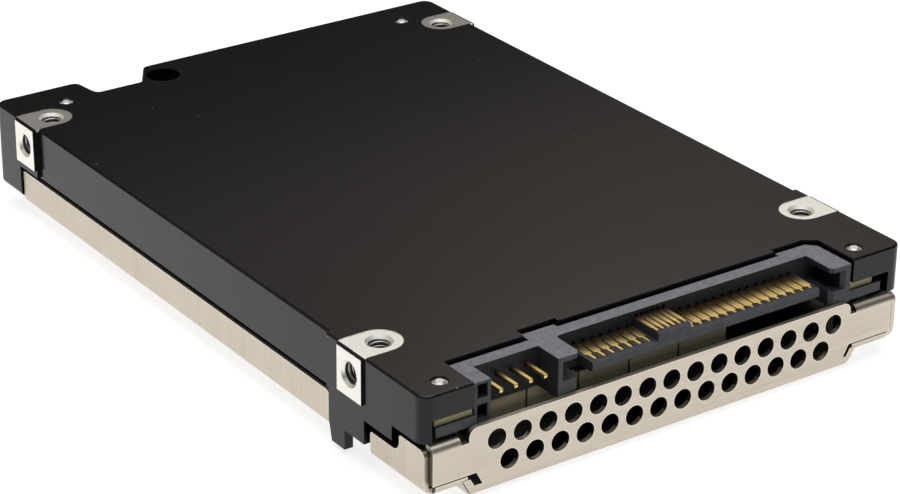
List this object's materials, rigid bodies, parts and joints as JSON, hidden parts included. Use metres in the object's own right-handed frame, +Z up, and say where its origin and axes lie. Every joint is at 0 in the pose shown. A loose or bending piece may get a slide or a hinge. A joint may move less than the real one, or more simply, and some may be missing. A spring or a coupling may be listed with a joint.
{
  "type": "2.5-inch sas solid-state drive",
  "caption": "Flat rectangular solid-state drive: cast tray base with side and face mounting holes, folded perforated steel cover and a keyed edge plug at one short end.",
  "frame": {"origin": "centre of the box's footprint, on the plane of the cover's plateau that the drive lies on", "axes": "+Z up out of the cast base's flat face, -Y towards the plug end, +X to the right seen from the plug end"},
  "size_m": [0.0698, 0.1, 0.014],
  "materials": {
    "black_paint": "satin black powder paint on die-cast aluminium",
    "cover_steel": "plain folded steel sheet",
    "connector_plastic": "moulded, fine matte",
    "contact_gold": "gold plated",
    "board_laminate": "solder mask over glass laminate",
    "socket_plastic": "moulded",
    "package_epoxy": "moulded epoxy",
    "capacitor_body": "moulded epoxy, semi-gloss",
    "inductor_body": "pressed powder",
    "thermal_pad": "soft filled silicone",
    "plated_brass": "nickel plated",
    "screw_steel": "zinc plated"
  },
  "bodies": {
    "root": {"base_casting": "black_paint", "bottom_cover": "cover_steel", "connector_housing": "connector_plastic", "signal_contacts": "contact_gold", "key_contacts": "contact_gold", "power_contacts": "contact_gold", "second_port_contacts": "contact_gold", "jumper_pins": "contact_gold", "main_board": "board_laminate", "second_board": "board_laminate", "board_plug": "socket_plastic", "board_receptacle": "socket_plastic", "controller_chip": "package_epoxy", "memory_chips": "package_epoxy", "main_flash_packages": "package_epoxy", "second_flash_packages": "package_epoxy", "hold_up_capacitors": "capacitor_body", "power_inductors": "inductor_body", "base_thermal_pads": "thermal_pad", "cover_thermal_pads": "thermal_pad", "standoffs": "plated_brass", "board_screws": "screw_steel", "cover_screws": "screw_steel"}
  },
  "joints": []
}
